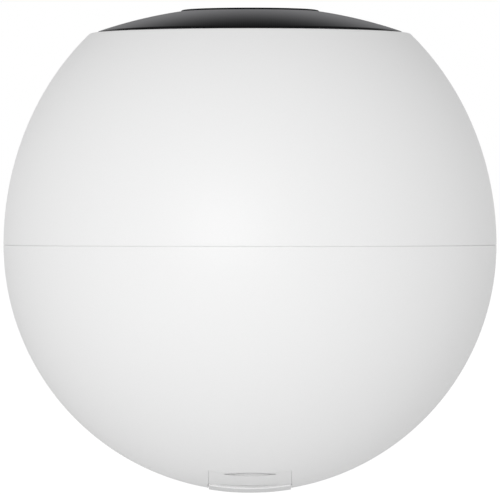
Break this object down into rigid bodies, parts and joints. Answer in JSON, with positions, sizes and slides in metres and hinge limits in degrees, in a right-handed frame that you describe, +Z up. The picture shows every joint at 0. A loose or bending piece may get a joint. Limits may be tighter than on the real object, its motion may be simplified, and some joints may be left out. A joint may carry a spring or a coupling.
{
  "type": "smart speaker",
  "caption": "Ball-shaped smart speaker with a white two-part shell, a dark cloth dome with a round push button on top, and a small hinged port cover above its foot.",
  "frame": {"origin": "centre of the flat of the foot, on the surface the speaker stands on", "axes": "+Z up through the foot and the button, -Y towards the front with the port cover, +X to the right seen from the front"},
  "size_m": [0.1, 0.1, 0.0977],
  "materials": {
    "white_shell": "fine satin moulded white",
    "white_cover": "fine satin moulded white",
    "foot_rubber": "soft light grey elastomer",
    "black_rubber": "matt black",
    "grille_cloth": "fine black acoustic weave",
    "black_plastic": "moulded black",
    "button_black": "satin black",
    "light_guide": "translucent white diffuser",
    "board": "solder-masked laminate",
    "steel": "zinc plated",
    "grey_plastic": "moulded grey",
    "led_white": "clear epoxy over phosphor",
    "gold_can": "plated can",
    "black_foam": "closed-cell foam",
    "basket_steel": "black coated pressed steel",
    "paper_cone": "coated pulp",
    "spider_cloth": "resin-stiffened weave",
    "copper": "enamelled copper winding",
    "plated_steel": "zinc plated",
    "ferrite": "sintered ferrite",
    "felt": "needled felt",
    "wire_red": "PVC insulated wire",
    "ribbon": "flat flexible cable",
    "shield_tin": "tin plated sheet",
    "thermal_pad": "silicone gap pad",
    "spreader_aluminium": "anodised",
    "ceramic_white": "chip antenna carrier",
    "capacitor_can": "sleeved can",
    "chip_black": "moulded epoxy",
    "connector_white": "moulded nylon",
    "cast_iron": "cast weight"
  },
  "bodies": {
    "body": {"upper_shell": "white_shell", "lower_shell": "white_shell", "foot_pad": "foot_rubber", "seam_seal": "black_rubber", "hinge_pin": "steel", "grille_cloth": "grille_cloth", "grille_frame": "black_plastic", "light_ring": "light_guide", "top_board": "board", "top_board_screws": "steel", "tact_switch": "black_plastic", "status_leds": "led_white", "microphones": "gold_can", "grille_screws": "steel", "baffle": "black_plastic", "driver_gasket": "black_foam", "driver_surround": "black_rubber", "driver_basket": "basket_steel", "spider": "spider_cloth", "top_plate": "plated_steel", "magnet": "ferrite", "yoke": "plated_steel", "driver_terminals": "board", "rear_chamber": "black_plastic", "damping_pad": "felt", "wire_grommet": "black_rubber", "speaker_wires": "wire_red", "ribbon_cable": "ribbon", "chassis": "grey_plastic", "chassis_screws": "steel", "main_board": "board", "board_screws": "steel", "processor_shield": "shield_tin", "thermal_pad": "thermal_pad", "heat_spreader": "spreader_aluminium", "wireless_module": "shield_tin", "antenna": "ceramic_white", "capacitors": "capacitor_can", "inductors": "ferrite", "board_chips": "chip_black", "board_connectors": "connector_white", "power_inlet": "chip_black", "inlet_pin": "plated_steel", "ballast": "cast_iron", "ballast_posts": "plated_steel", "post_screws": "steel", "foot_screws": "steel", "service_socket": "shield_tin", "service_board": "board", "service_screws": "steel", "service_cable": "ribbon"},
    "button": {"action_button": "button_black", "switch_plunger": "grey_plastic"},
    "moving_coil": {"driver_cone": "paper_cone", "dust_cap": "paper_cone", "voice_coil": "copper"},
    "cover": {"port_cover": "white_cover"}
  },
  "joints": [
    {"name": "button_press", "type": "slide", "parent": "body", "child": "button", "axis": [0, 0, -1], "range_m": [0, 0.0005], "stiffness_N_per_m": 800, "springref_m": -0.0005},
    {"name": "cone_travel", "type": "slide", "parent": "body", "child": "moving_coil", "axis": [0, 0, 1], "range_m": [-0.001, 0.001], "stiffness_N_per_m": 900, "deforming": ["driver_surround", "spider"]},
    {"name": "cover_hinge", "type": "hinge", "parent": "body", "child": "cover", "pos_m": [0, -0.01348, 0.00372], "axis": [1, 0, 0], "range_deg": [0, 70]}
  ]
}
